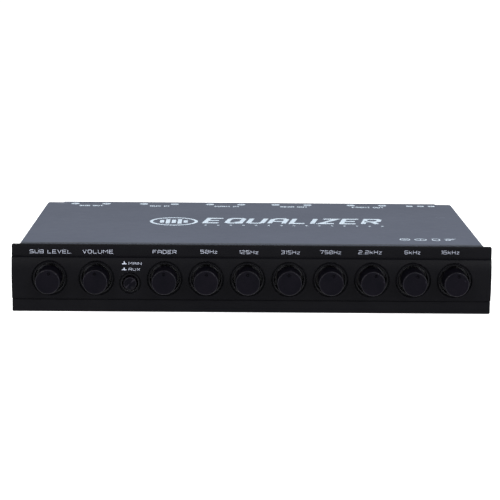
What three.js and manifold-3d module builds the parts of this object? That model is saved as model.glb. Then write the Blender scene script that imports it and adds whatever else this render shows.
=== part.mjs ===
// Half-height in-dash graphic equalizer: a folded steel chassis with a moulded front panel,
// ten rotary controls, one push switch, five stereo phono jack blocks and a three-pin supply header.
// Millimetres, +X to the right of the front panel, +Y towards the rear, +Z up.
// The origin is the centre of the underside of the whole object's bounding box.
import * as THREE from "three";
import { mergeVertices } from "three/addons/utils/BufferGeometryUtils.js";
import Module from "manifold-3d";

const wasm = await Module();
wasm.setup();

// ---------------------------------------------------------------- driving dimensions
const PANEL_W = 178, PANEL_H = 25.25;       // front panel outline
const STRIP_Y = -0.75;                      // face of the legend strip along the top
const FOOT_Y = -0.35;                       // face of the strip along the bottom
const PANEL_BACK = 2.0;                     // rear plane of the front panel
const POCKET_Y = 0.1;                       // floor of the moulding pocket behind the front panel

const CASE_W = 173.2, CASE_TOP = 25.5;       // folded cover, outside
const SHEET = 1.0;                          // sheet steel thickness
const CASE_FRONT = 2.3, CASE_REAR = 110.0;  // front and rear of the cover
const TRAY_HALF = 85.3;                     // half width of the tray inside the cover
const TRAY_REAR = 109.7;                    // outside face of the rear wall
const TRAY_TOP = 24.1;
const NOTCH_X = 79.5, NOTCH_Y = 108.0;      // relief at the rear corners of the cover

const KNOB_Z = 12.9;                        // height of the ten control shafts
const KNOB_PITCH = 15.36, KNOB_END_X = 75.25; // the eight right-hand controls are evenly spaced
const SUB_X = -74.95, VOLUME_X = -57.55;
const KNOB_FACE_Y = -10.0, KNOB_BACK_Y = -0.3;
const KNOB_R = 4.65, KNOB_BORE_R = 3.25;
const RECESS_R = 6.5, RECESS_HOLE_R = 5.35; // dished recess round each knob
const RECESS_FLOOR_Y = -1.35;
const SHAFT_R = 2.95, SHAFT_FRONT_Y = -7.6, SHAFT_END_Y = 8.3;
const BUSH_R = 4.0, BUSH_BORE_R = 3.3, BUSH_FRONT_Y = 1.3;
const POT_FRONT_Y = 4.0, POT_BACK_Y = 10.6, POT_HALF = 4.9, POT_TOP_Z = 18.3;

const BUTTON_X = -45.1, BUTTON_Z = 11.2;
const BUTTON_R = 2.45, BUTTON_FACE_Y = -3.2, BUTTON_BACK_Y = 1.6;
const BUTTON_RECESS_R = 4.05, BUTTON_HOLE_R = 2.8;

const BOARD_Z = 4.3, BOARD_TOP = 5.9;       // main circuit board
const PART_Z = 6.2;                         // underside of what stands on the board

const JACK_Z = 12.5, JACK_HALF_PITCH = 6.75;
const JACK_BLOCK_HALF = 13.2, JACK_BLOCK_Y = 97.5, JACK_BLOCK_END = 107.3;
const JACK_SHELL_R = 4.15, JACK_SHELL_IN = 3.7, JACK_END = 119.0;
const JACK_CORE_R = 3.35, JACK_PIN_R = 1.75, JACK_CORE_END = 118.5;
const JACK_HOLE_R = 5.0;

const SUPPLY_X = 74, SUPPLY_PITCH = 5.08;

const SCREW_Y = [18, 94], SCREW_Z = 5.5;

const CENTRE_Y = (KNOB_FACE_Y + JACK_END) / 2; // the group is shifted by this, so that the origin is the middle of the underside

// ---------------------------------------------------------------- materials
const steelBlue = new THREE.MeshStandardMaterial({ color: 0x666c7b, roughness: 0.55, metalness: 0.2 });
const steelPlain = new THREE.MeshStandardMaterial({ color: 0x9a9da2, roughness: 0.45, metalness: 0.9 });
const panelBlack = new THREE.MeshStandardMaterial({ color: 0x18181b, roughness: 0.5, metalness: 0 });
const knobBlack = new THREE.MeshStandardMaterial({ color: 0x151518, roughness: 0.62, metalness: 0 });
const plastic = new THREE.MeshStandardMaterial({ color: 0x141414, roughness: 0.6, metalness: 0 });
const boardGreen = new THREE.MeshStandardMaterial({ color: 0x1d5a36, roughness: 0.5, metalness: 0 });
const nickel = new THREE.MeshStandardMaterial({ color: 0xc9c6bd, roughness: 0.25, metalness: 1 });
const zinc = new THREE.MeshStandardMaterial({ color: 0xa9aaad, roughness: 0.4, metalness: 1 });
const headerBlack = new THREE.MeshStandardMaterial({ color: 0x18191a, roughness: 0.55, metalness: 0 });
const ferrite = new THREE.MeshStandardMaterial({ color: 0x2c2c2e, roughness: 0.7, metalness: 0 });
const sleeve = new THREE.MeshStandardMaterial({ color: 0x1c2238, roughness: 0.4, metalness: 0 });
const copper = new THREE.MeshStandardMaterial({ color: 0xa65a2a, roughness: 0.35, metalness: 0.8 });

// ---------------------------------------------------------------- solid helpers
// A closed geometry as a solid, turned to face outwards if its profile ran the other way round.
function solid(geometry) {
  const g = geometry.index ? geometry.toNonIndexed() : geometry.clone();
  const only = new THREE.BufferGeometry().setAttribute("position", g.getAttribute("position"));
  const merged = mergeVertices(only, 1e-4);
  const make = (tri) => new wasm.Manifold(new wasm.Mesh({
    numProp: 3, vertProperties: new Float32Array(merged.attributes.position.array), triVerts: tri }));
  const clean = [];
  const idx = merged.index.array;
  for (let i = 0; i < idx.length; i += 3) {
    if (idx[i] !== idx[i + 1] && idx[i + 1] !== idx[i + 2] && idx[i] !== idx[i + 2]) clean.push(idx[i], idx[i + 1], idx[i + 2]);
  }
  const tri = new Uint32Array(clean);
  let m = make(tri);
  if (m.volume() < 0) {
    for (let i = 0; i < tri.length; i += 3) [tri[i + 1], tri[i + 2]] = [tri[i + 2], tri[i + 1]];
    m = make(tri);
  }
  return m;
}

function geometryOf(m) {
  const mesh = m.getMesh(), n = mesh.numProp;
  const v = new Float32Array(mesh.numVert * 3);
  for (let i = 0; i < mesh.numVert; i++) for (let k = 0; k < 3; k++) v[3 * i + k] = mesh.vertProperties[n * i + k];
  const g = new THREE.BufferGeometry();
  g.setAttribute("position", new THREE.BufferAttribute(v, 3));
  g.setIndex(new THREE.BufferAttribute(new Uint32Array(mesh.triVerts), 1));
  g.computeVertexNormals();
  return g;
}

const box = (x0, x1, y0, y1, z0, z1) =>
  solid(new THREE.BoxGeometry(x1 - x0, y1 - y0, z1 - z0).translate((x0 + x1) / 2, (y0 + y1) / 2, (z0 + z1) / 2));
// Cylinder or cone along +Y: radius ra at y0, rb at y1.
const alongY = (ra, rb, y0, y1, x, z, seg) =>
  solid(new THREE.CylinderGeometry(rb, ra, y1 - y0, seg).translate(x, (y0 + y1) / 2, z));
const alongZ = (r, z0, z1, x, y, seg) =>
  solid(new THREE.CylinderGeometry(r, r, z1 - z0, seg).rotateX(Math.PI / 2).translate(x, y, (z0 + z1) / 2));
const alongX = (ra, rb, x0, x1, y, z, seg) =>
  solid(new THREE.CylinderGeometry(rb, ra, x1 - x0, seg).rotateZ(-Math.PI / 2).translate((x0 + x1) / 2, y, z));
// Turned shape about the Y axis from [radius, y] pairs.
const turned = (points, seg) => solid(new THREE.LatheGeometry(points.map(([r, y]) => new THREE.Vector2(r, y)), seg));
// A (y, z) outline extruded along X, and an (x, z) outline extruded along Y.
function outlineAlongX(points, x0, x1) {
  const g = new THREE.ExtrudeGeometry(new THREE.Shape(points.map(([y, z]) => new THREE.Vector2(y, z))), { depth: x1 - x0, bevelEnabled: false });
  g.applyMatrix4(new THREE.Matrix4().set(0, 0, 1, x0, 1, 0, 0, 0, 0, 1, 0, 0, 0, 0, 0, 1));
  return solid(g);
}
function outlineAlongY(points, y0, y1) {
  const g = new THREE.ExtrudeGeometry(new THREE.Shape(points.map(([x, z]) => new THREE.Vector2(x, z))), { depth: y1 - y0, bevelEnabled: false });
  g.applyMatrix4(new THREE.Matrix4().set(1, 0, 0, 0, 0, 0, -1, y1, 0, 1, 0, 0, 0, 0, 0, 1));
  return solid(g);
}
const join = (...parts) => parts.reduce((a, b) => a.add(b));

const root = new THREE.Group();
root.position.y = -CENTRE_Y;
function place(name, shape, material, x = 0, y = 0, z = 0, parent = root) {
  const mesh = new THREE.Mesh(geometryOf(shape), material);
  mesh.name = name;
  mesh.position.set(x, y, z);
  parent.add(mesh);
  return mesh;
}

// ---------------------------------------------------------------- control positions
const controls = [
  ["sub_level", SUB_X, 9],
  ["volume", VOLUME_X, -3],
  ["fader", KNOB_END_X - 7 * KNOB_PITCH, -2],
  ["50hz", KNOB_END_X - 6 * KNOB_PITCH, 3],
  ["125hz", KNOB_END_X - 5 * KNOB_PITCH, 0],
  ["315hz", KNOB_END_X - 4 * KNOB_PITCH, -5],
  ["750hz", KNOB_END_X - 3 * KNOB_PITCH, 16],
  ["2k2hz", KNOB_END_X - 2 * KNOB_PITCH, 18],
  ["6khz", KNOB_END_X - KNOB_PITCH, 18],
  ["16khz", KNOB_END_X, 13],
]; // name, x, and how far its pointer stands clockwise of upright, in degrees

const jacks = [
  ["sub_out", -67.8], ["aux_in", -38.6], ["main_in", -10.3], ["rear_out", 17.8], ["front_out", 49.9],
];

// ---------------------------------------------------------------- front panel
// Legend strip, groove, gently crowned control face, groove and foot strip, in one moulding.
const panelOutline = [
  [PANEL_BACK, 0], [FOOT_Y + 0.4, 0], [FOOT_Y, 0.4], [FOOT_Y, 4.4], [0, 4.62], [0, 5.04],
  [-1.35, 5.2], [-1.75, 7.2], [-2.1, 10.5], [-2.25, 14], [-2.1, 17.2], [-1.65, 19.8], [-1.5, 20.1],
  [-0.55, 20.96], [-0.42, 21.3], [STRIP_Y, 21.42], [STRIP_Y, PANEL_H - 0.4], [STRIP_Y + 0.4, PANEL_H], [PANEL_BACK, PANEL_H],
];
let panel = outlineAlongX(panelOutline, -PANEL_W / 2, PANEL_W / 2);
panel = panel.subtract(box(-86, 86, POCKET_Y, PANEL_BACK + 1, 5.6, 19.6));
for (const [, x] of controls) {
  panel = panel.add(alongY(RECESS_R + 0.5, RECESS_R + 0.5, POCKET_Y - 0.3, PANEL_BACK, x, KNOB_Z, 20));
}
panel = panel.add(alongY(4.6, 4.6, POCKET_Y - 0.3, PANEL_BACK, BUTTON_X, BUTTON_Z, 16));
for (const [, x] of controls) {
  panel = panel.subtract(alongY(RECESS_HOLE_R, RECESS_HOLE_R, -4, PANEL_BACK + 1, x, KNOB_Z, 24));
  panel = panel.subtract(alongY(8.88, RECESS_HOLE_R + 0.05, -4.2, RECESS_FLOOR_Y, x, KNOB_Z, 24));
}
panel = panel.subtract(alongY(BUTTON_HOLE_R, BUTTON_HOLE_R, -4, PANEL_BACK + 1, BUTTON_X, BUTTON_Z, 20));
panel = panel.subtract(alongY(7.1, BUTTON_HOLE_R + 0.05, -4.2, -1.35, BUTTON_X, BUTTON_Z, 20));
// Four stakes that pass through the front wall of the tray.
for (const sx of [-1, 1]) for (const z of [6.6, 18.6]) {
  panel = panel.add(alongY(1.2, 1.2, PANEL_BACK - 1.95, 5.0, sx * 82.6, z, 10));
}
place("front_panel", panel, panelBlack);

// ---------------------------------------------------------------- chassis tray
let tray = join(
  box(-TRAY_HALF, TRAY_HALF, CASE_FRONT, TRAY_REAR, 0, SHEET),
  box(-TRAY_HALF, TRAY_HALF, CASE_FRONT, CASE_FRONT + SHEET, 0, TRAY_TOP),
  box(-TRAY_HALF, TRAY_HALF, TRAY_REAR - SHEET, TRAY_REAR, 0, TRAY_TOP),
  box(-TRAY_HALF, -TRAY_HALF + SHEET, CASE_FRONT, TRAY_REAR, 0, 10),
  box(TRAY_HALF - SHEET, TRAY_HALF, CASE_FRONT, TRAY_REAR, 0, 10),
);
const standoffs = [[-78, 24], [78, 24], [-78, 90], [60, 90]];
for (const [x, y] of standoffs) tray = tray.add(alongZ(2.6, SHEET - 0.4, BOARD_Z - 0.3, x, y, 10));
for (const [x, y] of standoffs) tray = tray.subtract(alongZ(1.2, SHEET + 0.2, BOARD_Z, x, y, 8));
for (const [, x] of controls) tray = tray.subtract(alongY(4.4, 4.4, CASE_FRONT - 1, CASE_FRONT + SHEET + 0.4, x, KNOB_Z, 16));
tray = tray.subtract(alongY(3.3, 3.3, CASE_FRONT - 1, CASE_FRONT + SHEET + 0.4, BUTTON_X, BUTTON_Z, 14));
for (const sx of [-1, 1]) for (const z of [6.6, 18.6]) {
  tray = tray.subtract(alongY(1.55, 1.55, CASE_FRONT - 1, CASE_FRONT + SHEET + 0.4, sx * 82.6, z, 10));
}
for (const [, x] of jacks) for (const s of [-1, 1]) {
  tray = tray.subtract(alongY(JACK_HOLE_R, JACK_HOLE_R, TRAY_REAR - SHEET - 0.4, TRAY_REAR + 1, x + s * JACK_HALF_PITCH, JACK_Z, 20));
}
tray = tray.subtract(box(SUPPLY_X - 9.0, SUPPLY_X + 9.0, TRAY_REAR - SHEET - 0.4, TRAY_REAR + 1, 5.8, 17.6));
for (const sx of [-1, 1]) for (const y of SCREW_Y) {
  tray = tray.subtract(alongX(1.75, 1.75, Math.min(sx * 83, sx * 86), Math.max(sx * 83, sx * 86), y, SCREW_Z, 10));
}
place("chassis_tray", tray, steelPlain);

// ---------------------------------------------------------------- folded cover
const w = CASE_W / 2, t = SHEET;
const coverOutline = [
  [-w, 0.3], [-w, CASE_TOP - 1.2], [-w + 0.35, CASE_TOP - 0.35], [-w + 1.2, CASE_TOP],
  [w - 1.2, CASE_TOP], [w - 0.35, CASE_TOP - 0.35], [w, CASE_TOP - 1.2], [w, 0.3],
  [w - t, 0.3], [w - t, CASE_TOP - 1.35], [w - t - 0.35, CASE_TOP - t],
  [-w + t + 0.35, CASE_TOP - t], [-w + t, CASE_TOP - 1.35], [-w + t, 0.3],
];
let cover = outlineAlongY(coverOutline, CASE_FRONT, CASE_REAR);
for (const sx of [-1, 1]) {
  cover = cover.subtract(box(Math.min(sx * NOTCH_X, sx * 88), Math.max(sx * NOTCH_X, sx * 88), NOTCH_Y, CASE_REAR + 1, 23.0, 27));
  for (const y of SCREW_Y) {
    const [x0, x1] = sx > 0 ? [w - t - 0.2, w + 0.2] : [-w - 0.2, -w + t + 0.2];
    // countersunk hole: widest at the outside face
    const outer = 3.35, inner = 1.75;
    cover = cover.subtract(sx > 0 ? alongX(inner, outer, x0, x1, y, SCREW_Z, 14) : alongX(outer, inner, x0, x1, y, SCREW_Z, 14));
  }
}
place("top_cover", cover, steelBlue);

// Countersunk cover screws, heads flush with the sides.
function coverScrew() {
  const head = solid(new THREE.LatheGeometry([[0, 0], [2.7, 0], [2.7, -0.15], [1.4, -1.35], [1.4, -4.3], [0, -4.7]].map(([r, y]) => new THREE.Vector2(r, y)), 12));
  const slot = join(box(-1.5, 1.5, -0.8, 0.4, -0.28, 0.28), box(-0.28, 0.28, -0.8, 0.4, -1.5, 1.5));
  return head.subtract(slot);
}
for (const [name, sx, y] of [["cover_screw_left_front", -1, SCREW_Y[0]], ["cover_screw_left_rear", -1, SCREW_Y[1]],
  ["cover_screw_right_front", 1, SCREW_Y[0]], ["cover_screw_right_rear", 1, SCREW_Y[1]]]) {
  const screw = place(name, coverScrew(), zinc, sx * (w - 0.1), y, SCREW_Z);
  screw.rotation.z = -sx * Math.PI / 2;
}

// ---------------------------------------------------------------- main board
let board = box(-81.2, 81.2, 5.6, 107.0, BOARD_Z, BOARD_TOP);
for (const [x, y] of standoffs) board = board.subtract(alongZ(1.5, BOARD_Z - 1, BOARD_TOP + 1, x, y, 10));
place("main_board", board, boardGreen);

// ---------------------------------------------------------------- rotary controls
function knob() {
  const body = turned([[0, KNOB_FACE_Y], [KNOB_R - 0.45, KNOB_FACE_Y], [KNOB_R - 0.05, KNOB_FACE_Y + 0.4], [KNOB_R + 0.08, KNOB_BACK_Y],
    [KNOB_BORE_R, KNOB_BACK_Y], [KNOB_BORE_R, -7.9], [0, -7.9]], 24);
  return body.subtract(alongY(0.5, 0.5, KNOB_FACE_Y - 0.5, KNOB_FACE_Y + 0.5, 0, 3.0, 8));
}
function shaft() {
  const rod = alongY(SHAFT_R, SHAFT_R, SHAFT_FRONT_Y, SHAFT_END_Y, 0, 0, 18);
  return rod.subtract(box(-0.5, 0.5, SHAFT_FRONT_Y - 1, -2.4, -4, 4));
}
function potBody() {
  const base = box(-POT_HALF, POT_HALF, POT_FRONT_Y, POT_BACK_Y, PART_Z - KNOB_Z, POT_TOP_Z - KNOB_Z);
  const bush = alongY(BUSH_R, BUSH_R, BUSH_FRONT_Y, POT_FRONT_Y + 0.3, 0, 0, 18);
  return base.add(bush).subtract(alongY(BUSH_BORE_R, BUSH_BORE_R, BUSH_FRONT_Y - 1, SHAFT_END_Y + 0.3, 0, 0, 18));
}
for (const [name, x, turn] of controls) {
  place("pot_body_" + name, potBody(), plastic, x, 0, KNOB_Z);
  const spindle = new THREE.Group();
  spindle.position.set(x, 0, KNOB_Z);
  spindle.rotation.y = THREE.MathUtils.degToRad(turn);
  root.add(spindle);
  place("pot_shaft_" + name, shaft(), nickel, 0, 0, 0, spindle);
  place("knob_" + name, knob(), knobBlack, 0, 0, 0, spindle);
}

// ---------------------------------------------------------------- source switch
let cap = turned([[0, BUTTON_FACE_Y + 0.25], [1.3, BUTTON_FACE_Y + 0.12], [2.0, BUTTON_FACE_Y], [BUTTON_R, BUTTON_FACE_Y + 0.4],
  [BUTTON_R, BUTTON_BACK_Y], [0, BUTTON_BACK_Y]], 18);
cap = cap.subtract(box(-1.3, 1.3, -1.0, BUTTON_BACK_Y + 1, -1.3, 1.3));
place("source_button", cap, knobBlack, BUTTON_X, 0, BUTTON_Z);
place("switch_plunger", box(-1, 1, -0.7, 12, -1, 1), plastic, BUTTON_X, 0, BUTTON_Z);
let switchBody = box(-3.9, 3.9, 6.0, 19.5, PART_Z - BUTTON_Z, 4.0);
switchBody = switchBody.subtract(box(-1.3, 1.3, 5, 14.4, -1.3, 1.3));
place("switch_body", switchBody, plastic, BUTTON_X, 0, BUTTON_Z);

// ---------------------------------------------------------------- phono jacks
function jackBlock() {
  let b = box(-JACK_BLOCK_HALF, JACK_BLOCK_HALF, JACK_BLOCK_Y, JACK_BLOCK_END, PART_Z - JACK_Z, 5.9);
  for (const s of [-1, 1]) b = b.add(alongY(JACK_CORE_R, JACK_CORE_R, JACK_BLOCK_END - 0.4, JACK_CORE_END, s * JACK_HALF_PITCH, 0, 20));
  for (const s of [-1, 1]) b = b.subtract(alongY(JACK_PIN_R, JACK_PIN_R, 108.8, JACK_CORE_END + 1, s * JACK_HALF_PITCH, 0, 10));
  return b;
}
function jackShell() {
  let b = box(-11.6, 11.6, 107.6, 108.3, -4.9, 5.4);
  for (const s of [-1, 1]) b = b.add(alongY(JACK_SHELL_R, JACK_SHELL_R, 107.7, JACK_END, s * JACK_HALF_PITCH, 0, 20));
  for (const s of [-1, 1]) b = b.subtract(alongY(JACK_SHELL_IN, JACK_SHELL_IN, 106, JACK_END + 1, s * JACK_HALF_PITCH, 0, 20));
  return b;
}
for (const [name, x] of jacks) {
  place("jack_block_" + name, jackBlock(), plastic, x, 0, JACK_Z);
  place("jack_shell_" + name, jackShell(), nickel, x, 0, JACK_Z);
}

// ---------------------------------------------------------------- supply header
let header = box(-8.6, 8.6, 99.0, 112.0, PART_Z, 17.2);
header = header.subtract(box(-7.7, 7.7, 103.0, 113, 7.0, 16.4));
for (const i of [-1, 0, 1]) header = header.subtract(box(i * SUPPLY_PITCH - 0.8, i * SUPPLY_PITCH + 0.8, 98, 104, 9.0, 10.6));
place("supply_header", header, headerBlack, SUPPLY_X, 0, 0);
for (const [name, i] of [["supply_pin_12v", -1], ["supply_pin_remote", 0], ["supply_pin_ground", 1]]) {
  place(name, box(-0.5, 0.5, 98.4, 110.5, 9.3, 10.3), nickel, SUPPLY_X + i * SUPPLY_PITCH, 0, 0);
}

// ---------------------------------------------------------------- larger parts on the board
place("supply_capacitor", alongZ(5.0, PART_Z, 22.4, 0, 0, 20), sleeve, 70, 84, 0);
place("noise_choke", solid(new THREE.LatheGeometry([[4.2, -3], [8.2, -3], [9.0, -2], [9.0, 2], [8.2, 3], [4.2, 3], [3.6, 2], [3.6, -2], [4.2, -3]]
  .map(([r, y]) => new THREE.Vector2(r, y)), 16).rotateX(Math.PI / 2)), copper, 44, 78, PART_Z + 3.2);
// Ferrite core with its winding bulging out of both windows.
place("converter_transformer", join(box(-9, 9, -5, 5, 0, 14), box(-6, 6, -8.6, 8.6, 2.4, 11.6)), ferrite, 66, 58, PART_Z);
const regulator = join(box(-2.3, 2.3, -5, 5, 0, 9.4), box(1.0, 2.3, -5, 5, 9, 15.6)).subtract(alongX(1.8, 1.8, 0, 3, 0, 12.6, 12));
place("voltage_regulator", regulator, plastic, 78.8, 40, PART_Z);
place("filter_op_amp", outlineAlongX([[-3.2, 0.5], [3.2, 0.5], [3.0, 2.0], [2.7, 3.9], [-2.7, 3.9], [-3.0, 2.0]], -9.6, 9.6), plastic, 0, 46, PART_Z);

export default root;
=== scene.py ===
"""Half-height in-dash graphic equalizer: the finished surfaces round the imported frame.

Shapes are built in millimetres of the design frame (x right, y towards the rear with 0 near the panel face, z up)
and moved into the row frame in metres when each piece is made.
"""

from math import acos, atan, atan2, cos, hypot, pi, radians, sin, sqrt, tan

import bmesh
import bpy
from mathutils import Matrix, Vector


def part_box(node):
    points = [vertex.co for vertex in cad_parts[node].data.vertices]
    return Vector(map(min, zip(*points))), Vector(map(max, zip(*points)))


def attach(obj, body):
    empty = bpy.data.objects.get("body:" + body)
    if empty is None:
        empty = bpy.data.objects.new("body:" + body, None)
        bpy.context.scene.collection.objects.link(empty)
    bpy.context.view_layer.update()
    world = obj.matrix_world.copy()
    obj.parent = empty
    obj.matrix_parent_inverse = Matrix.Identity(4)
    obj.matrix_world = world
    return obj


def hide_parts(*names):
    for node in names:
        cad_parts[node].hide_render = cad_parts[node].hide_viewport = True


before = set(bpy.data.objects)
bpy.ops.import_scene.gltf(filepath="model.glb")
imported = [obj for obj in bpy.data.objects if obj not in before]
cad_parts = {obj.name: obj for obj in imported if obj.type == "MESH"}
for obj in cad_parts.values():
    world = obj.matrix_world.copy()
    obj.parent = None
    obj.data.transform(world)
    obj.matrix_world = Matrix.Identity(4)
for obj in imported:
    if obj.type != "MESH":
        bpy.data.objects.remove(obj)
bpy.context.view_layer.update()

# ------------------------------------------------------------------ dimensions, millimetres
PANEL_HALF, PANEL_H, PANEL_BACK = 89.0, 25.25, 2.0
STRIP_Y, FOOT_Y = -0.75, -0.35
CASE_HALF, CASE_TOP, SHEET = 86.6, 25.47, 1.0
CASE_FRONT, CASE_REAR = 2.3, 110.0
TRAY_HALF, TRAY_REAR, TRAY_TOP = 85.3, 109.7, 24.1
NOTCH_X, NOTCH_Y, NOTCH_Z = 79.5, 108.0, 23.0
KNOB_FACE_Y = -10.0
KNOB_R, RECESS_R, RECESS_HOLE_R = 4.52, 6.5, 5.3
BUTTON_X, BUTTON_Z = -45.1, 11.2
JACK_Z, JACK_HALF_PITCH = 12.5, 6.75
SUPPLY_X, SUPPLY_PITCH = 74.0, 5.08
SCREW_Z = 5.5

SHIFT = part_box("knob_volume")[0].y * 1000 - KNOB_FACE_Y      # design y to row y, millimetres
TO_ROW = Matrix.Translation((0, SHIFT / 1000, 0)) @ Matrix.Scale(0.001, 4)

POINTERS = {"sub_level": 9, "volume": -3, "fader": -2, "50hz": 3, "125hz": 0, "315hz": -5, "750hz": 16,
            "2k2hz": 18, "6khz": 18, "16khz": 13}


def middle(node):
    lo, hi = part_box(node)
    return (lo.x + hi.x) * 500, (lo.z + hi.z) * 500


CONTROLS = [(n, *middle("knob_" + n)) for n in POINTERS]
JACKS = [(n, middle("jack_shell_" + n)[0]) for n in ("sub_out", "aux_in", "main_in", "rear_out", "front_out")]
KNOB_Z = CONTROLS[1][2]


# ------------------------------------------------------------------ materials
def ramp(nt, stops):
    r = nt.nodes.new("ShaderNodeValToRGB")
    e = r.color_ramp.elements
    while len(e) < len(stops):
        e.new(0.5)
    for el, (pos, c) in zip(e, stops):
        el.position = pos
        el.color = (*c, 1)
    return r


def srgb(r, g, b):
    return tuple((v / 255 / 12.92) if v / 255 <= 0.04045 else ((v / 255 + 0.055) / 1.055) ** 2.4 for v in (r, g, b))


def surface(name, dark, light, patch=60.0, rough=(0.4, 0.5), rough_scale=400.0, grain=3000.0, grain_depth=0.00001,
            grain_strength=0.3, second=None, metallic=0.0, specular=0.5, coat=0.0, coat_rough=0.2, edge_wear_and_highlight=None,
            stretch=(1, 1, 1), sheen=0.0, ior=None, voronoi=False, band=None):
    """One finish: two-tone mottling, varying roughness, a fine relief and, where it has them, lighter edges that are
    edge wear (on the moulding also a painted highlight) and a band of painted shade along object y.
    """
    m = bpy.data.materials.new(name)
    m.use_nodes = True
    nt = m.node_tree
    b = nt.nodes["Principled BSDF"]
    co = nt.nodes.new("ShaderNodeTexCoord")
    mp = nt.nodes.new("ShaderNodeMapping")
    mp.inputs["Scale"].default_value = stretch
    nt.links.new(co.outputs["Object"], mp.inputs["Vector"])

    def noise(scale, detail=4.0, roughness=0.55):
        n = nt.nodes.new("ShaderNodeTexNoise")
        n.inputs["Scale"].default_value = scale
        n.inputs["Detail"].default_value = detail
        n.inputs["Roughness"].default_value = roughness
        nt.links.new(mp.outputs["Vector"], n.inputs["Vector"])
        return n

    n1 = noise(patch)
    r1 = ramp(nt, [(0.3, dark), (0.7, light)])
    nt.links.new(n1.outputs["Fac"], r1.inputs["Fac"])
    colour = r1.outputs["Color"]
    # lighter convex edges: edge wear, and on the panel moulding also a painted highlight
    if edge_wear_and_highlight:
        g = nt.nodes.new("ShaderNodeNewGeometry")
        rw = ramp(nt, [(edge_wear_and_highlight[1], (0, 0, 0)), (edge_wear_and_highlight[2], (1, 1, 1))])
        nt.links.new(g.outputs["Pointiness"], rw.inputs["Fac"])
        nw = noise(700.0)
        mul = nt.nodes.new("ShaderNodeMath")
        mul.operation = "MULTIPLY"
        nt.links.new(rw.outputs["Color"], mul.inputs[0])
        nt.links.new(nw.outputs["Fac"], mul.inputs[1])
        mix = nt.nodes.new("ShaderNodeMix")
        mix.data_type = "RGBA"
        nt.links.new(mul.outputs[0], mix.inputs[0])
        nt.links.new(colour, mix.inputs[6])
        mix.inputs[7].default_value = (*edge_wear_and_highlight[0], 1)
        colour = mix.outputs[2]
    # painted shade: where a band is given, the colour darkens along object y, standing in for a shadow line at a seam
    if band:
        sp = nt.nodes.new("ShaderNodeSeparateXYZ")
        nt.links.new(co.outputs["Object"], sp.inputs[0])
        fade = nt.nodes.new("ShaderNodeMapRange")
        fade.inputs["From Min"].default_value, fade.inputs["From Max"].default_value = band[1], band[2]
        fade.inputs["To Min"].default_value, fade.inputs["To Max"].default_value = 1.0, 0.0
        nt.links.new(sp.outputs["Y"], fade.inputs["Value"])
        mix = nt.nodes.new("ShaderNodeMix")
        mix.data_type = "RGBA"
        nt.links.new(fade.outputs["Result"], mix.inputs[0])
        nt.links.new(colour, mix.inputs[6])
        mix.inputs[7].default_value = (*band[0], 1)
        colour = mix.outputs[2]
    nt.links.new(colour, b.inputs["Base Color"])
    n2 = noise(rough_scale)
    mr = nt.nodes.new("ShaderNodeMapRange")
    mr.inputs["From Min"].default_value, mr.inputs["From Max"].default_value = 0.3, 0.7
    mr.inputs["To Min"].default_value, mr.inputs["To Max"].default_value = rough
    nt.links.new(n2.outputs["Fac"], mr.inputs["Value"])
    nt.links.new(mr.outputs["Result"], b.inputs["Roughness"])
    if voronoi:
        n3 = nt.nodes.new("ShaderNodeTexVoronoi")
        n3.inputs["Scale"].default_value = grain
        nt.links.new(mp.outputs["Vector"], n3.inputs["Vector"])
        height = n3.outputs["Distance"]
    else:
        n3 = noise(grain, 3.0)
        height = n3.outputs["Fac"]
    bump = nt.nodes.new("ShaderNodeBump")
    bump.inputs["Strength"].default_value = grain_strength
    bump.inputs["Distance"].default_value = grain_depth
    nt.links.new(height, bump.inputs["Height"])
    normal = bump
    if second:
        n4 = noise(second[0], 2.0)
        bump2 = nt.nodes.new("ShaderNodeBump")
        bump2.inputs["Strength"].default_value = second[1]
        bump2.inputs["Distance"].default_value = second[2]
        nt.links.new(n4.outputs["Fac"], bump2.inputs["Height"])
        nt.links.new(bump.outputs["Normal"], bump2.inputs["Normal"])
        normal = bump2
    nt.links.new(normal.outputs["Normal"], b.inputs["Normal"])
    b.inputs["Metallic"].default_value = metallic
    b.inputs["Specular IOR Level"].default_value = specular
    b.inputs["Coat Weight"].default_value = coat
    b.inputs["Coat Roughness"].default_value = coat_rough
    b.inputs["Sheen Weight"].default_value = sheen
    if ior:
        b.inputs["IOR"].default_value = ior
    return m


# painted shade: the paint is darkened along the front edge, standing in for the shadow where the cover tucks in behind
# the moulding
COVER_PAINT = surface("cover_paint", srgb(69, 75, 89), srgb(73, 79, 93), patch=38, rough=(0.45, 0.49), rough_scale=260,
                      grain=2600, grain_depth=0.00002, grain_strength=0.22, specular=0.2,
                      edge_wear_and_highlight=(srgb(120, 126, 138), 0.56, 0.66), band=(srgb(49, 53, 61), -0.0508, -0.0501))
# painted highlight: cover paint a little lighter, for the faint pressed ring on the cover
PRESSED_RING_HIGHLIGHT = surface("pressed_ring_highlight_paint", srgb(76, 82, 96), srgb(80, 86, 100), patch=300, rough=(0.42, 0.48), rough_scale=500,
                     grain=2600, grain_depth=0.00002, grain_strength=0.22, specular=0.25)
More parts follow.
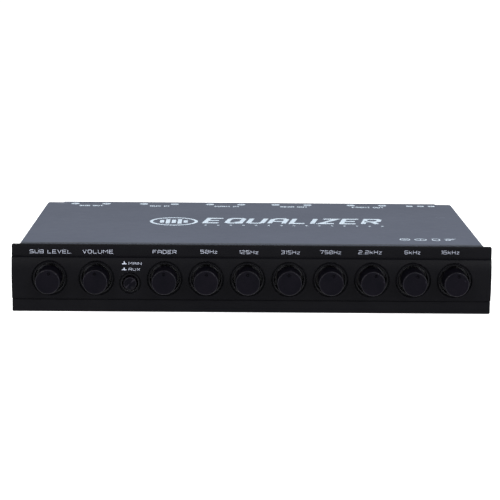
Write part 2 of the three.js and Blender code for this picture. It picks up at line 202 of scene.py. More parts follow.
# the moulding's lighter convex edges are partly edge wear and partly a painted highlight, such as along the top edge of
# the foot
PANEL_PLASTIC = surface("panel_plastic", srgb(5, 5, 7), srgb(7, 7, 9), patch=45, rough=(0.34, 0.42), rough_scale=300,
                        grain=4200, grain_depth=0.00001, grain_strength=0.25, specular=0.0245,
                        edge_wear_and_highlight=(srgb(30, 30, 33), 0.57, 0.70))
KNOB_PLASTIC = surface("knob_plastic", srgb(4, 4, 7), srgb(7, 6, 10), patch=160, rough=(0.28, 0.36), rough_scale=500,
                       grain=5200, grain_depth=0.00001, grain_strength=0.25, specular=0.0165,
                       edge_wear_and_highlight=(srgb(34, 32, 38), 0.56, 0.68))
PANEL_EDGE = surface("panel_edge", srgb(10, 10, 12), srgb(14, 14, 16), patch=45, rough=(0.24, 0.32), rough_scale=300,
                     grain=4200, grain_depth=0.00001, grain_strength=0.15, specular=0.2)
KNOB_EDGE = surface("knob_edge", srgb(12, 11, 15), srgb(17, 16, 21), patch=160, rough=(0.24, 0.32), rough_scale=500,
                    grain=5200, grain_depth=0.00001, grain_strength=0.15, specular=0.05)
BLACK_NYLON = surface("black_nylon", srgb(14, 14, 15), srgb(22, 22, 23), patch=220, rough=(0.45, 0.6), rough_scale=700,
                      grain=3500, grain_depth=0.00002, grain_strength=0.4, specular=0.4)
TRAY_STEEL = surface("tray_steel", srgb(30, 31, 35), srgb(36, 37, 42), patch=60, rough=(0.42, 0.52), rough_scale=260,
                     grain=2600, grain_depth=0.00002, grain_strength=0.3, second=(400, 0.04, 0.00008), specular=0.3,
                     edge_wear_and_highlight=(srgb(96, 98, 104), 0.56, 0.66))
NICKEL = surface("nickel_plate", srgb(188, 184, 174), srgb(214, 211, 202), patch=350, rough=(0.16, 0.3), rough_scale=500,
                 grain=4200, grain_depth=0.000004, grain_strength=0.25, metallic=1.0)
ZINC = surface("zinc_plate", srgb(150, 151, 153), srgb(188, 188, 186), patch=700, rough=(0.28, 0.45), rough_scale=900,
               grain=5000, grain_depth=0.000006, grain_strength=0.4, metallic=1.0)
GOLD = surface("contact_brass", srgb(196, 160, 92), srgb(220, 186, 118), patch=400, rough=(0.2, 0.35), rough_scale=700,
               grain=5000, grain_depth=0.000004, grain_strength=0.3, metallic=1.0)
WHITE_INSULATOR = surface("insulator_white", srgb(214, 212, 204), srgb(232, 230, 224), patch=240, rough=(0.35, 0.5),
                          rough_scale=600, grain=3600, grain_depth=0.00001, grain_strength=0.3)
RED_INSULATOR = surface("insulator_red", srgb(150, 18, 16), srgb(178, 28, 24), patch=240, rough=(0.35, 0.5),
                        rough_scale=600, grain=3600, grain_depth=0.00001, grain_strength=0.3)
BOARD = surface("solder_mask", srgb(18, 70, 40), srgb(28, 96, 56), patch=90, rough=(0.3, 0.45), rough_scale=200,
                grain=900, grain_depth=0.00003, grain_strength=0.5, second=(2400, 0.2, 0.00001), coat=0.3)
FERRITE = surface("ferrite", srgb(34, 34, 36), srgb(52, 50, 50), patch=500, rough=(0.6, 0.8), rough_scale=900,
                  grain=2500, grain_depth=0.00004, grain_strength=0.6)
SLEEVE = surface("capacitor_sleeve", srgb(20, 26, 52), srgb(30, 38, 70), patch=120, rough=(0.25, 0.35), rough_scale=300,
                 grain=1200, grain_depth=0.00002, grain_strength=0.3, coat=0.4)
COPPER = surface("copper_wire", srgb(150, 74, 34), srgb(188, 104, 56), patch=300, rough=(0.25, 0.4), rough_scale=500,
                 grain=1400, grain_depth=0.0002, grain_strength=0.9, metallic=0.9, stretch=(1, 1, 0.2))
TOP_INK = surface("cover_ink", srgb(172, 186, 199), srgb(190, 203, 214), patch=300, rough=(0.5, 0.62), rough_scale=900,
                  grain=4200, grain_depth=0.00001, grain_strength=0.4, specular=0.3)
FRONT_INK = surface("panel_ink", srgb(116, 120, 132), srgb(130, 134, 146), patch=300, rough=(0.5, 0.62), rough_scale=900,
                    grain=4200, grain_depth=0.00001, grain_strength=0.4, specular=0.3)


# ------------------------------------------------------------------ mesh helpers
def rounded(points, seg=4):
    """Open outline from (a, b, radius) corners, its corners turned into arcs."""
    out = []
    n = len(points)
    for i, (a, b, r) in enumerate(points):
        if r <= 0 or i in (0, n - 1):
            out.append((a, b))
            continue
        p, p0, p1 = Vector((a, b)), Vector(points[i - 1][:2]), Vector(points[i + 1][:2])
        v0, v1 = (p0 - p), (p1 - p)
        l0, l1 = v0.length, v1.length
        v0.normalize(); v1.normalize()
        ang = acos(max(-1, min(1, v0.dot(v1))))
        d = r / tan(ang / 2)
        d = min(d, 0.49 * l0, 0.49 * l1)
        rr = d * tan(ang / 2)
        c = p + (v0 + v1).normalized() * (rr / sin(ang / 2))
        s, e = p + v0 * d - c, p + v1 * d - c
        a0, a1 = atan2(s.y, s.x), atan2(e.y, e.x)
        da = (a1 - a0 + pi) % (2 * pi) - pi
        for k in range(seg + 1):
            t = a0 + da * k / seg
            out.append((c.x + rr * cos(t), c.y + rr * sin(t)))
    return out


def holed_grid(us, vs, holes=(), skip=None, rings=5, ease=1.6):
    """A flat (u, v) grid with round holes. Each hole is (cu, cv, radius, i0, i1, j0, j1) with the block of cells it
    takes. Returns points, faces and the vertex loop round each hole."""
    pts, faces, index = [], [], {}

    def gp(i, j):
        if (i, j) not in index:
            index[i, j] = len(pts)
            pts.append((us[i], vs[j]))
        return index[i, j]

    taken = {(i, j) for h in holes for i in range(h[3], h[4]) for j in range(h[5], h[6])}
    for i in range(len(us) - 1):
        for j in range(len(vs) - 1):
            if (i, j) in taken or (skip and skip((us[i] + us[i + 1]) / 2, (vs[j] + vs[j + 1]) / 2)):
                continue
            faces.append((gp(i, j), gp(i + 1, j), gp(i + 1, j + 1), gp(i, j + 1)))
    loops = []
    for cu, cv, r, i0, i1, j0, j1 in holes:
        border = ([(i, j0) for i in range(i0, i1)] + [(i1, j) for j in range(j0, j1)]
                  + [(i, j1) for i in range(i1, i0, -1)] + [(i0, j) for j in range(j1, j0, -1)])
        outer = [gp(*b) for b in border]
        ang = [atan2(pts[k][1] - cv, pts[k][0] - cu) for k in outer]
        prev = outer
        for q in range(1, rings + 1):
            t = 1 - (1 - q / rings) ** ease
            cur = []
            for k, a in zip(outer, ang):
                p = pts[k]
                cur.append(len(pts))
                pts.append((p[0] + (cu + r * cos(a) - p[0]) * t, p[1] + (cv + r * sin(a) - p[1]) * t))
            for n in range(len(outer)):
                m = (n + 1) % len(outer)
                faces.append((prev[n], prev[m], cur[m], cur[n]))
            prev = cur
        loops.append(prev)
    return pts, faces, loops


def add_faces(bm, verts, faces, mat=0):
    for f in faces:
        vs = [verts[k] for k in f]
        if len(set(vs)) > 2:
            try:
                bm.faces.new(vs).material_index = mat
            except ValueError:
                pass


def skin(bm, pts, faces, fn, mat=0):
    vs = [bm.verts.new(fn(*p)) for p in pts]
    add_faces(bm, vs, faces, mat)
    return vs


def plate(bm, pts_out, pts_in, faces, fo, fi, mat=0):
    """A sheet: an outer and an inner skin of the same cells, walled all along their borders."""
    vo, vi = [bm.verts.new(fo(*p)) for p in pts_out], [bm.verts.new(fi(*p)) for p in pts_in]
    add_faces(bm, vo, faces, mat)
    add_faces(bm, vi, [tuple(reversed(f)) for f in faces], mat)
    count = {}
    for f in faces:
        for k in range(len(f)):
            e = (f[k], f[(k + 1) % len(f)])
            count[e] = count.get(e, 0) + 1
    for a, b in count:
        if (b, a) not in count:
            add_faces(bm, [vo[b], vo[a], vi[a], vi[b]], [(0, 1, 2, 3)], mat)
    return vo, vi


def rings(bm, loops, closed=True, mat=0):
    """Quads between each loop of vertices and the next."""
    for a, b in zip(loops, loops[1:]):
        n = len(a)
        for k in range(n if closed else n - 1):
            m = (k + 1) % n
            add_faces(bm, [a[k], a[m], b[m], b[k]], [(0, 1, 2, 3)], mat)


def lathe(bm, profile, cx, cz, n=48, mat=0, axis="y", at=0.0):
    """Turned shape about an axis along y (or x) from (radius, position) pairs; a radius of 0 is a pole."""
    loops = []
    for r, y in profile:
        if r < 1e-6:
            loops.append([bm.verts.new((cx, y, cz) if axis == "y" else (y, cx, cz))] * n)
            continue
        loop = []
        for k in range(n):
            a = 2 * pi * k / n
            p = (cx + r * sin(a), y, cz + r * cos(a)) if axis == "y" else (y, cx + r * sin(a), cz + r * cos(a))
            loop.append(bm.verts.new(p))
        loops.append(loop)
    for a, b in zip(loops, loops[1:]):
        for k in range(n):
            m = (k + 1) % n
            vs = []
            for v in (a[k], a[m], b[m], b[k]):
                if v not in vs:
                    vs.append(v)
            if len(vs) > 2:
                bm.faces.new(vs).material_index = mat
    return loops


def brick(bm, x0, x1, y0, y1, z0, z1, r=0.25, seg=2, mat=0):
    """A block with rounded edges."""
    made = bmesh.ops.create_cube(bm, size=1.0)["verts"]
    for v in made:
        v.co = Vector(((x0 + x1) / 2 + v.co.x * (x1 - x0), (y0 + y1) / 2 + v.co.y * (y1 - y0),
                       (z0 + z1) / 2 + v.co.z * (z1 - z0)))
    faces = {f for v in made for f in v.link_faces}
    for f in faces:
        f.material_index = mat
    if r > 0:
        edges = list({e for v in made for e in v.link_edges})
        bmesh.ops.bevel(bm, geom=edges, offset=min(r, 0.45 * min(x1 - x0, y1 - y0, z1 - z0)), segments=seg,
                        profile=0.5, affect="EDGES", material=mat)


def finish_piece(name, bm, body, mats, replaces=(), angle=32, merge=1e-4, bevel=0.0, normals=True):
    bmesh.ops.remove_doubles(bm, verts=bm.verts, dist=merge)
    if normals:
        bmesh.ops.recalc_face_normals(bm, faces=bm.faces)
    bm.transform(TO_ROW)
    me = bpy.data.meshes.new(name)
    bm.to_mesh(me)
    bm.free()
    for m in mats:
        me.materials.append(m)
    for p in me.polygons:
        p.use_smooth = True
    me.set_sharp_from_angle(angle=radians(angle))
    ob = bpy.data.objects.new(name, me)
    bpy.context.scene.collection.objects.link(ob)
    if bevel:
        mod = ob.modifiers.new("edge", "BEVEL")
        mod.width = bevel / 1000
        mod.segments = 2
        mod.limit_method = "ANGLE"
        mod.angle_limit = radians(50)
        mod.harden_normals = False
    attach(ob, body)
    if replaces:
        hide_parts(*replaces)
    return ob


def even_angles(centre, lo, hi, reach, n):
    """Division lines from lo to hi that stand at even angles round a hole centre, seen at that reach."""
    a, b = atan((lo - centre) / reach), atan((hi - centre) / reach)
    return [centre + reach * tan(a + (b - a) * k / n) for k in range(n + 1)]


def merge_lines(*lists):
    out = []
    for v in sorted(x for l in lists for x in l):
        if not out or v - out[-1] > 1e-6:
            out.append(v)
    return out


# ------------------------------------------------------------------ front panel
MID_LO, MID_HI = 5.5, 20.25


def crown(z):
    d = z - 13.6
    return -2.25 + (0.95 * (-d / 8.6) ** 2.2 if d < 0 else 0.8 * (d / 6.6) ** 2.4)


def front_panel():
    zs = even_angles(KNOB_Z, MID_LO, MID_HI, 7.6, 24)
    spans = []
    for n, x, z in CONTROLS:
        spans.append((x - 7.68, x + 7.68, x, z, RECESS_R + 0.24))
    left_of_fader = [s for s in spans if s[2] < -50][-1][1], [s for s in spans if s[2] > -50][0][0]
    spans.insert(2, (left_of_fader[0], left_of_fader[1], BUTTON_X, BUTTON_Z, 4.05 + 0.22))
    lines = [even_angles(c, lo, hi, 7.35 if r > 5 else 5.0, 24) for lo, hi, c, _, r in spans]
    end_r = 0.35
    ends = [PANEL_HALF - end_r + end_r * sin(radians(a)) for a in (0, 18, 36, 54, 72, 90)]
    xs = merge_lines([-e for e in ends], ends, *lines, [-88, -86.5, -84.5, 84.5, 86.5, 88])
    # neighbours that share an edge have it twice within rounding, so index by nearest line
    near = lambda v, l: min(range(len(l)), key=lambda k: abs(l[k] - v))
    holes = [(c, z, r, near(lo, xs), near(hi, xs), 0, len(zs) - 1) for lo, hi, c, z, r in spans]
    bm = bmesh.new()
    # control face
    pts, faces, loops = holed_grid(xs, zs, holes, rings=6, ease=1.5)
    front = skin(bm, pts, faces, lambda x, z: (x, crown(z), z))
    back_holes = [(c, z, (RECESS_HOLE_R if r > 5 else 2.8), i0, i1, j0, j1) for c, z, r, i0, i1, j0, j1 in holes]
    pts_b, faces_b, loops_b = holed_grid(xs, zs, back_holes, rings=2, ease=1.0)
    back = skin(bm, pts_b, [tuple(reversed(f)) for f in faces_b], lambda x, z: (x, PANEL_BACK, z))
    # dished recesses: a small step, a cone, and a rounded lip into the bore
    for (c, z, r, *_), loop, loop_b in zip(holes, loops, loops_b):
        big = r > 5
        base = RECESS_R if big else 4.05
        hole = RECESS_HOLE_R if big else 2.8
        step = 0.36 if big else 0.44
        width = 0.55 if big else 0.4
        angles = [atan2(bm_v.co.z - z, bm_v.co.x - c) for bm_v in (front[k] for k in loop)]
        chain = [[front[k] for k in loop]]
        # rounded rim, narrow shadow groove, flat band, then a broad rounded lip into the bore
        prof = [(base + 0.16, 0.012), (base + 0.08, 0.05), (base + 0.02, 0.115), (base - 0.02, 0.2), (base - 0.04, step),
                (base - 0.05, step + 0.34), (base - 0.10, step + 0.42), (base - 0.28, step + 0.42), (base - 0.33, step + 0.34),
                (base - 0.36, step + 0.06), (base - 0.43, step)]
        flat_to = hole + width
        prof += [(base - 0.43 + (flat_to - base + 0.43) * t, step + 0.02 * t) for t in (0.35, 0.7, 1.0)]
        first_lip = len(prof)
        prof += [(hole + width * (1 - sin(radians(a))), step + 0.02 + 0.6 * (1 - cos(radians(a)))) for a in (15, 30, 45, 60, 75, 90)]
        last_lip = len(prof)
        prof.append((hole, step + 1.0))
        for rr, deep in prof:
            chain.append([bm.verts.new((c + rr * cos(a), crown(z + base * sin(a)) + deep, z + rr * sin(a))) for a in angles])
        chain.append([back[k] for k in loop_b])
        for q in range(len(chain) - 1):
            rings(bm, chain[q:q + 2], mat=1 if q in (2, 3) or first_lip <= q < last_lip else 0)
    # legend strip and its groove above, foot strip and its groove below, each carried on to the back
    upper = rounded([(crown(MID_HI), MID_HI, 0), (crown(20.55), 20.55, 0.09), (-0.78, 20.9, 0.05), (-0.5, 20.95, 0.05),
                     (-0.5, 21.2, 0.04), (STRIP_Y, 21.26, 0.07), (STRIP_Y, PANEL_H, 0.45), (PANEL_BACK, PANEL_H, 0.3), (PANEL_BACK, 21.0, 0),
                     (PANEL_BACK, MID_HI, 0)], 5)
    lower = rounded([(PANEL_BACK, MID_LO, 0), (PANEL_BACK, 4.0, 0), (PANEL_BACK, 0, 0.3), (FOOT_Y, 0, 0.45),
                     (FOOT_Y, 4.52, 0.24), (-0.1, 4.64, 0.06), (-0.1, 5.04, 0.08), (crown(5.2), 5.18, 0.15),
                     (crown(MID_LO), MID_LO, 0)], 5)
    for line in (upper, lower):
        grid_pts = [(x, k) for x in xs for k in range(len(line))]
        m = len(line)
        quads = [(i * m + k, (i + 1) * m + k, (i + 1) * m + k + 1, i * m + k + 1)
                 for i in range(len(xs) - 1) for k in range(m - 1)]
        skin(bm, grid_pts, quads, lambda x, k: (x, line[k][0], line[k][1]))
    bmesh.ops.remove_doubles(bm, verts=bm.verts, dist=1e-4)
    # round the two ends off
    for v in bm.verts:
        over = abs(v.co.x) - (PANEL_HALF - end_r)
        if over > 0:
            d = end_r - sqrt(max(0.0, end_r ** 2 - over ** 2))
            if v.co.y < PANEL_BACK - 0.31:
                v.co.y += d * 0.9
            if v.co.z > PANEL_H - 0.5:
                v.co.z -= d * 0.8
            elif v.co.z < 0.5:
                v.co.z += d * 0.8
    open_edges = [e for e in bm.edges if len(e.link_faces) == 1]
    bmesh.ops.holes_fill(bm, edges=open_edges, sides=0)
    for sx in (-1, 1):
        for z in (6.6, 18.6):
            lathe(bm, [(0, 1.9), (1.2, 1.9), (1.2, 4.6), (1.1, 4.85), (0.85, 5.0), (0, 5.0)], sx * 82.6, z, 24)
    return finish_piece("front_panel_moulding", bm, "chassis", [PANEL_PLASTIC, PANEL_EDGE], ["front_panel"], angle=38)


# ------------------------------------------------------------------ rotary knobs and the push button
def knob(name, cx, cz, turn):
    bm = bmesh.new()
    n = 72
    face_r, dimple_r, dimple_at = KNOB_R - 0.42, 0.68, 3.0
    th = radians(turn)
    px, pz = dimple_at * sin(th), dimple_at * cos(th)

    def dish(x, z):
        return KNOB_FACE_Y + 0.16 * (1 - min(1.0, hypot(x, z) / face_r) ** 2.5)

    chain = []
    # pointer dimple: rounded bottom, then its lip
    centre = bm.verts.new((cx + px, dish(px, pz) + 0.82, cz + pz))
    for r, d in ((0.22, 0.80), (0.38, 0.74), (0.48, 0.60), (0.53, 0.34), (0.56, 0.12), (0.60, 0.03), (dimple_r, 0.0)):
        chain.append([bm.verts.new((cx + px + r * sin(2 * pi * k / n), dish(px, pz) + d, cz + pz + r * cos(2 * pi * k / n)))
                      for k in range(n)])
    for k in range(n):
        bm.faces.new((centre, chain[0][k], chain[0][(k + 1) % n]))
    # the face, spreading from the dimple to the rim
    steps = 12
    for q in range(1, steps + 1):
        t = q / steps
        ox, oz, r = px * (1 - t), pz * (1 - t), dimple_r + (face_r - dimple_r) * t
        loop = []
        for k in range(n):
            x, z = ox + r * sin(2 * pi * k / n), oz + r * cos(2 * pi * k / n)
            loop.append(bm.verts.new((cx + x, dish(x, z), cz + z)))
        chain.append(loop)
    # rim and side
    prof = [(face_r + 0.05, KNOB_FACE_Y + 0.004)]
    for a in range(15, 91, 15):
        prof.append((face_r + 0.06 + 0.36 * sin(radians(a)), KNOB_FACE_Y + 0.36 * (1 - cos(radians(a)))))
    prof += [(KNOB_R + 0.0, -9.4), (KNOB_R + 0.02, -8.6), (KNOB_R + 0.05, -5.0), (KNOB_R + 0.07, -1.2), (KNOB_R + 0.07, -0.45),
             (KNOB_R - 0.08, -0.3), (3.35, -0.3), (3.25, -0.4), (3.25, -7.9)]
    for r, y in prof:
        chain.append([bm.verts.new((cx + r * sin(2 * pi * k / n), y, cz + r * cos(2 * pi * k / n))) for k in range(n)])
    for q in range(len(chain) - 1):
        rings(bm, chain[q:q + 2], mat=1 if 20 <= q <= 25 else 0)
    end = bm.verts.new((cx, -7.9, cz))
    for k in range(n):
        bm.faces.new((end, chain[-1][(k + 1) % n], chain[-1][k]))
    return finish_piece("rotary_knob_" + name, bm, "control_" + name, [KNOB_PLASTIC, KNOB_EDGE], ["knob_" + name], angle=40)


def button():
    bm = bmesh.new()
    y0 = -3.2
    prof = [(0, y0 + 0.34), (0.5, y0 + 0.325), (1.0, y0 + 0.27), (1.45, y0 + 0.17), (1.8, y0 + 0.06), (1.98, y0 + 0.01), (2.1, y0)]
    prof += [(2.1 + 0.35 * sin(radians(a)), y0 + 0.35 * (1 - cos(radians(a)))) for a in (20, 40, 60, 80, 90)]
    prof += [(2.45, -1.0), (2.45, 1.45), (2.35, 1.6), (1.5, 1.6), (1.45, 1.5), (1.45, -0.9), (0, -0.9)]
    lathe(bm, prof[:7], BUTTON_X, BUTTON_Z, 60)
    lathe(bm, prof[6:12], BUTTON_X, BUTTON_Z, 60, mat=1)
    lathe(bm, prof[11:], BUTTON_X, BUTTON_Z, 60)
    return finish_piece("source_push_button", bm, "source_switch", [KNOB_PLASTIC, KNOB_EDGE], ["source_button"], angle=40)


# ------------------------------------------------------------------ folded cover
def bent_path(segments):
    """A path of straight runs and quarter bends: returns its length and a function giving (point, outward normal)."""
    total = sum(s["len"] for s in segments)

    def at(u):
        u = max(0.0, min(total, u))
        for s in segments:
            if u <= s["len"] + 1e-9:
                if s["kind"] == "line":
                    p = s["p"] + s["d"] * u
                    return p, s["n"]
                a = s["a0"] + s["da"] * (u / s["len"])
                n = Vector((cos(a), sin(a)))
                return s["c"] + n * s["r"], n
            u -= s["len"]
        s = segments[-1]
        return s["p"] + s["d"] * s["len"], s["n"]

    return total, at


def line(p, q, n):
    p, q = Vector(p), Vector(q)
    return {"kind": "line", "len": (q - p).length, "p": p, "d": (q - p).normalized(), "n": Vector(n)}


def bend(c, r, a0, a1):
    return {"kind": "bend", "len": abs(radians(a1 - a0)) * r, "c": Vector(c), "r": r, "a0": radians(a0), "da": radians(a1 - a0)}


def top_cover():
    r = 1.2
    w = CASE_HALF
    total, at = bent_path([
        line((-w, 0.3), (-w, CASE_TOP - r), (-1, 0)),
        bend((-w + r, CASE_TOP - r), r, 180, 90),
        line((-w + r, CASE_TOP), (w - r, CASE_TOP), (0, 1)),
        bend((w - r, CASE_TOP - r), r, 90, 0),
        line((w, CASE_TOP - r), (w, 0.3), (1, 0)),
    ])
    side, arc_len = CASE_TOP - r - 0.3, radians(90) * r
    us_side = merge_lines([0, 0.15], even_angles(SCREW_Z - 0.3, 1.0, 9.4, 5.0, 10), [11.5, 14, 17, 20, 22.0, 22.7, 23.5, side])
    us_bend = [side + arc_len * k / 8 for k in range(1, 8)]
    a0 = side + arc_len
    us_top = [a0, a0 + 0.5] + [a0 + (w - r) + x for x in (-NOTCH_X, -76, -68, -56, -44, -32, -20, -8, 0)]
    half = us_side + us_bend + us_top
    us = merge_lines(half, [total - u for u in half])
    vs = merge_lines([2.3, 2.45, 3.2], even_angles(18, 13.0, 23.0, 5.0, 10), [30, 42, 54, 66, 78], even_angles(94, 89, 99, 5.0, 10),
                     [103, NOTCH_Y, 109.0, 109.85, CASE_REAR])
    near = lambda v, l: min(range(len(l)), key=lambda k: abs(l[k] - v))
    holes_o, holes_i = [], []
    for u0 in (SCREW_Z - 0.3, total - (SCREW_Z - 0.3)):
        for y in (18, 94):
            lo_u, hi_u = (1.0, 9.4) if u0 < 20 else (total - 9.4, total - 1.0)
            blk = (near(lo_u, us), near(hi_u, us), near(y - 5, vs), near(y + 5, vs))
            holes_o.append((u0, y, 3.0, *blk))
            holes_i.append((u0, y, 1.75, *blk))
    lo_notch, hi_notch = 22.7, a0 + (w - r) - NOTCH_X

    def skip(u, y):
        uu = min(u, total - u)
        return y > NOTCH_Y and lo_notch < uu < hi_notch

    po, faces, _ = holed_grid(us, vs, holes_o, skip, rings=4, ease=1.3)
    pi_, _, _ = holed_grid(us, vs, holes_i, skip, rings=4, ease=1.3)
    bm = bmesh.new()

    def outer(u, y):
        p, n = at(u)
        return (p.x, y, p.y)

    def inner(u, y):
        p, n = at(u)
        q = p - n * SHEET
        return (q.x, y, q.y)

    plate(bm, po, pi_, faces, outer, inner)
    return finish_piece("folded_top_cover", bm, "chassis", [COVER_PAINT], ["top_cover"], angle=35, bevel=0.07)


def cover_screw(name, sx, y):
    """Countersunk cross-head screw, its head flush with the side of the cover."""
    bm = bmesh.new()
    n = 48
    x0 = sx * (CASE_HALF - 0.1)
    corner = atan2(0.36, 1.45)
    angles = sorted({round(2 * pi * k / n, 6) for k in range(n)} | {round((q * pi / 2 + s * corner) % (2 * pi), 6) for q in range(4) for s in (-1, 1)}
                    | {round((q * pi / 2 + pi / 4) % (2 * pi), 6) for q in range(4)})

    def cross(a, scale):
        best = 0.0
        for q in range(4):
            d = (a - q * pi / 2 + pi) % (2 * pi) - pi
            if abs(d) < pi / 2 - 1e-9:
                r = 1.45 * scale / cos(d)
                side = 0.36 * scale / abs(sin(d)) if abs(sin(d)) > 1e-9 else 1e9
                best = max(best, min(r, side))
        return best

    def loop(rfun, depth):
        return [bm.verts.new((x0 - sx * depth, y + rfun(a) * sin(a), SCREW_Z + rfun(a) * cos(a))) for a in angles]

    chain = [loop(lambda a: 1.3, 4.4), loop(lambda a: 1.45, 4.2), loop(lambda a: 1.45, 1.35), loop(lambda a: 2.55, 0.22),
             loop(lambda a: 2.7, 0.12), loop(lambda a: 2.66, 0.03), loop(lambda a: 2.58, 0.0), loop(lambda a: 2.1, 0.0),
             loop(lambda a: cross(a, 1.06), 0.0), loop(lambda a: cross(a, 1.0), 0.06), loop(lambda a: cross(a, 0.62), 0.95)]
    rings(bm, chain)
    tip, pit = bm.verts.new((x0 - sx * 4.7, y, SCREW_Z)), bm.verts.new((x0 - sx * 1.1, y, SCREW_Z))
    m = len(angles)
    for k in range(m):
        bm.faces.new((tip, chain[0][(k + 1) % m], chain[0][k]))
        bm.faces.new((pit, chain[-1][k], chain[-1][(k + 1) % m]))
    return finish_piece("cross_head_" + name, bm, "chassis", [ZINC], [name], angle=30)


# ------------------------------------------------------------------ tray
def tray():
    r = 1.2
    total, at = bent_path([
        line((CASE_FRONT, TRAY_TOP), (CASE_FRONT, r), (-1, 0)),
        bend((CASE_FRONT + r, r), r, 180, 270),
        line((CASE_FRONT + r, 0), (TRAY_REAR - r, 0), (0, -1)),
        bend((TRAY_REAR - r, r), r, 270, 360),
        line((TRAY_REAR, r), (TRAY_REAR, TRAY_TOP), (1, 0)),
    ])
    arc_len = radians(90) * r
    wall = TRAY_TOP - r
    floor_len = TRAY_REAR - CASE_FRONT - 2 * r
    u_of_front = lambda z: TRAY_TOP - z
    u_of_rear = lambda z: wall + arc_len + floor_len + arc_len + (z - r)
    us = merge_lines([0, 1.5, 4.0], even_angles(u_of_front(KNOB_Z), u_of_front(KNOB_Z) - 5.6, u_of_front(KNOB_Z) + 5.6, 5.6, 10),
                     [18.5, 21, wall], [wall + arc_len * k / 6 for k in range(1, 6)],
                     [wall + arc_len + floor_len * k / 16 for k in range(0, 17)],
                     [wall + arc_len + floor_len + arc_len * k / 6 for k in range(1, 7)],
                     [u_of_rear(z) for z in (2.6, 4.2, 5.8)],
                     even_angles(u_of_rear(JACK_Z), u_of_rear(5.8), u_of_rear(19.2), 6.2, 18), [u_of_rear(17.6)],
                     [u_of_rear(z) for z in (21.0, 22.6, TRAY_TOP)])
    front_blocks = [(x, 6.3, 4.4) for _, x, _ in CONTROLS] + [(BUTTON_X, 4.2, 3.3)]
    rear_blocks = [(x + s * JACK_HALF_PITCH, 6.5, 5.0) for _, x in JACKS for s in (-1, 1)]
    supply = (SUPPLY_X - 9.0, SUPPLY_X + 9.0)
    xs = merge_lines(*[even_angles(c, c - h, c + h, 5.0, 8) for c, h, _ in front_blocks],
                     *[even_angles(c, c - h, c + h, 6.0, 14) for c, h, _ in rear_blocks],
                     [-TRAY_HALF, -84, 84, TRAY_HALF, *supply])
    cleaned = [xs[0]]
    keep = {round(v, 4) for c, h, _ in front_blocks + rear_blocks for v in (c - h, c + h)} | {round(v, 4) for v in supply} | {-TRAY_HALF, TRAY_HALF}
    for x in xs[1:]:
        if x - cleaned[-1] < 0.12:
            if round(x, 4) in keep and round(cleaned[-1], 4) not in keep:
                cleaned[-1] = x
            elif round(x, 4) in keep:
                cleaned.append(x)
            continue
        cleaned.append(x)
    xs = cleaned
    near = lambda v, l: min(range(len(l)), key=lambda k: abs(l[k] - v))
    holes = []
    for c, h, rad in front_blocks:
        uc = u_of_front(KNOB_Z if rad > 4 else BUTTON_Z)
        holes.append((uc, c, rad, near(u_of_front(KNOB_Z) - 5.6, us), near(u_of_front(KNOB_Z) + 5.6, us), near(c - h, xs), near(c + h, xs)))
    for c, h, rad in rear_blocks:
        holes.append((u_of_rear(JACK_Z), c, rad, near(u_of_rear(5.8), us), near(u_of_rear(19.2), us), near(c - h, xs), near(c + h, xs)))

    def skip(u, x):
        return supply[0] < x < supply[1] and u_of_rear(5.8) < u < u_of_rear(17.6)

    pts, faces, _ = holed_grid(us, xs, holes, skip, rings=3, ease=1.2)
    bm = bmesh.new()

    def outer(u, x):
        p, n = at(u)
        return (x, p.x, p.y)

    def inner(u, x):
        p, n = at(u)
        q = p - n * SHEET
        return (x, q.x, q.y)

    plate(bm, pts, pts, faces, outer, inner)
    for sx in (-1, 1):
        a, b = sorted((sx * TRAY_HALF, sx * (TRAY_HALF - SHEET)))
        brick(bm, a, b, 5.0, 107.2, 0.8, 10.0, 0.12, 2)
    for x, y in ((-78, 24), (78, 24), (-78, 90), (60, 90)):
        # press-fitted board spacer
        loops = []
        for rr, zz in ((1.2, 4.0), (2.45, 4.0), (2.6, 3.85), (2.6, 0.7), (1.2, 0.7)):
            loops.append([bm.verts.new((x + rr * cos(2 * pi * k / 24), y + rr * sin(2 * pi * k / 24), zz)) for k in range(24)])
        loops.append(loops[0])
        rings(bm, loops)
    return finish_piece("folded_tray", bm, "chassis", [TRAY_STEEL], ["chassis_tray"], angle=35, bevel=0.12)


def spacer_marks():
    """Flush rims of the four press-fitted spacers, seen on the underside of the tray."""
    bm = bmesh.new()
    for x, y in ((-78, 24), (78, 24), (-78, 90), (60, 90)):
        loops = []
        for rr, zz in ((2.75, 0.15), (2.75, 0.012), (2.55, 0.003), (2.2, 0.003), (2.1, 0.05), (1.5, 0.05), (1.4, 0.004), (0.0, 0.004)):
            if rr == 0:
                loops.append([bm.verts.new((x, y, zz))] * 32)
            else:
                loops.append([bm.verts.new((x + rr * cos(2 * pi * k / 32), y + rr * sin(2 * pi * k / 32), zz)) for k in range(32)])
        loops.insert(0, [bm.verts.new((x, y, 0.15))] * 32)
        for a, b in zip(loops, loops[1:]):
            for k in range(32):
                q = []
                for v in (a[k], a[(k + 1) % 32], b[(k + 1) % 32], b[k]):
                    if v not in q:
                        q.append(v)
                if len(q) > 2:
                    bm.faces.new(q)
    return finish_piece("spacer_rims", bm, "chassis", [ZINC], angle=30)


